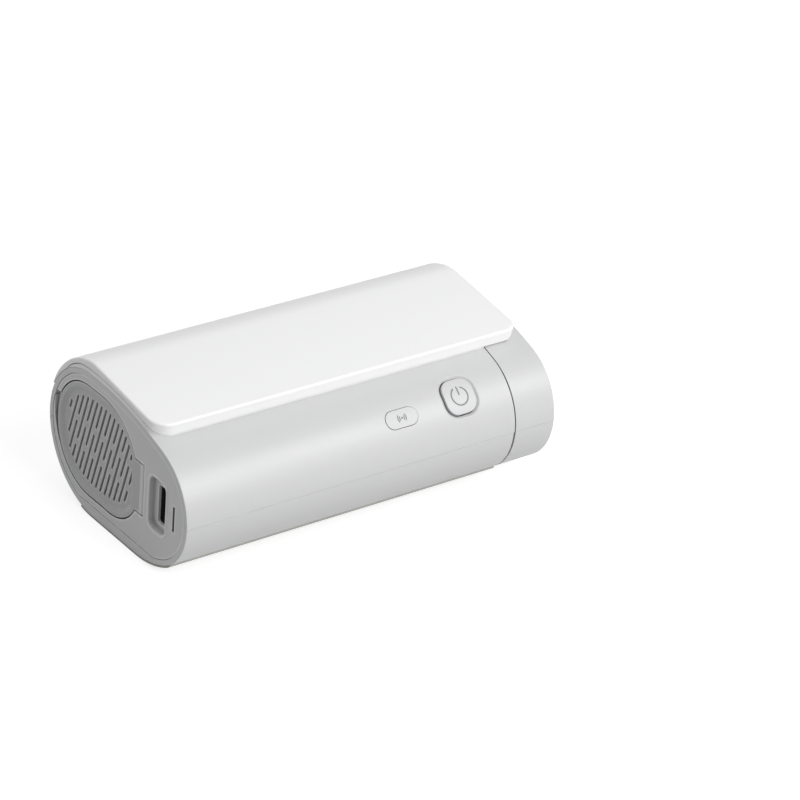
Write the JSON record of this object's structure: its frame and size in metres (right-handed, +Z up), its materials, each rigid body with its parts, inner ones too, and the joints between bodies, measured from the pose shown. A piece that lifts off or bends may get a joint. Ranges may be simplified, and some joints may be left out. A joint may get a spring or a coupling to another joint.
{
  "type": "cpap machine",
  "caption": "Compact positive airway pressure machine with a curved top cover, front power and wireless buttons, a filtered air inlet, a power socket and a hose outlet.",
  "frame": {"origin": "middle of the box around the machine, at the face it stands on", "axes": "+X along the machine towards the hose outlet, +Z up, -Y towards the buttons"},
  "size_m": [0.1808, 0.1018, 0.0691],
  "materials": {
    "housing_plastic": "fine satin texture, light grey",
    "cover_plastic": "smooth white",
    "strip_plastic": "off-white",
    "pad_rubber": "matte warm grey, non-slip",
    "icon_ink": "mid grey inlay",
    "key_plastic": "satin light grey",
    "black_plastic": "matte black",
    "inner_plastic": "matte dark grey, moulded",
    "clear_grey_plastic": "natural moulded plastic",
    "filter_foam": "open-cell foam",
    "damping_foam": "soft open-cell foam",
    "silicone_rubber": "soft silicone",
    "steel": "bright steel",
    "can_metal": "zinc plated steel",
    "magnet_metal": "dull sintered metal",
    "winding_copper": "enamelled copper on iron",
    "board_green": "solder mask over glass fibre",
    "contact_metal": "gold-plated"
  },
  "bodies": {
    "housing": {"upper_shell": "housing_plastic", "lower_shell": "housing_plastic", "top_cover": "cover_plastic", "cover_seat_strip": "strip_plastic", "base_pad": "pad_rubber", "inlet_end_cap": "housing_plastic", "filter_cover_pin": "steel", "filter_box": "inner_plastic", "air_filter": "filter_foam", "silencer_box": "inner_plastic", "silencer_foam": "damping_foam", "inlet_duct": "inner_plastic", "chassis": "inner_plastic", "chassis_screws": "steel", "blower_mounts": "silicone_rubber", "volute_lower": "clear_grey_plastic", "volute_upper": "clear_grey_plastic", "volute_screws": "steel", "motor_can": "can_metal", "shaft_bearings": "steel", "motor_stator": "winding_copper", "outlet_duct": "silicone_rubber", "outlet_bulkhead": "inner_plastic", "spigot_seal": "silicone_rubber", "flow_sensor": "black_plastic", "main_board": "board_green", "board_components": "black_plastic", "wireless_module": "steel", "power_switch_board": "board_green", "wireless_switch_board": "board_green", "tact_switches": "black_plastic", "power_socket": "black_plastic", "socket_contacts": "contact_metal", "card_reader": "steel", "power_button_bezel": "housing_plastic", "case_screws": "steel"},
    "filter_door": {"filter_cover": "housing_plastic"},
    "power_key": {"power_button": "key_plastic", "power_icon": "icon_ink"},
    "wireless_key": {"wireless_button": "key_plastic", "wireless_icon": "icon_ink"},
    "rotor": {"impeller": "clear_grey_plastic", "rotor_shaft": "steel", "rotor_magnet": "magnet_metal"},
    "card": {"memory_card": "black_plastic"},
    "outlet_module": {"module_upper_shell": "housing_plastic", "module_lower_shell": "housing_plastic", "module_skirt": "inner_plastic", "outlet_end_plate": "housing_plastic", "outlet_well": "housing_plastic", "hose_outlet": "housing_plastic", "module_screws": "steel"}
  },
  "joints": [
    {"name": "filter_cover_hinge", "type": "hinge", "parent": "housing", "child": "filter_door", "pos_m": [-0.0887, -0.01765, 0.0307], "axis": [0, 0, 1], "range_deg": [0, 90]},
    {"name": "power_button_press", "type": "slide", "parent": "housing", "child": "power_key", "axis": [0, 0.6921, -0.7218], "range_m": [0, 0.0008], "stiffness_N_per_m": 1500},
    {"name": "wireless_button_press", "type": "slide", "parent": "housing", "child": "wireless_key", "axis": [0, 0.7455, -0.6665], "range_m": [0, 0.0006], "stiffness_N_per_m": 1500},
    {"name": "impeller_spin", "type": "hinge", "parent": "housing", "child": "rotor", "pos_m": [0.008, 0.002, 0.03], "axis": [0, 0, 1], "continuous": true},
    {"name": "outlet_module_slide", "type": "slide", "parent": "housing", "child": "outlet_module", "axis": [1, 0, 0], "range_m": [0, 0.025]},
    {"name": "memory_card_slide", "type": "slide", "parent": "housing", "child": "card", "axis": [-1, 0, 0], "range_m": [0, 0.012]}
  ]
}
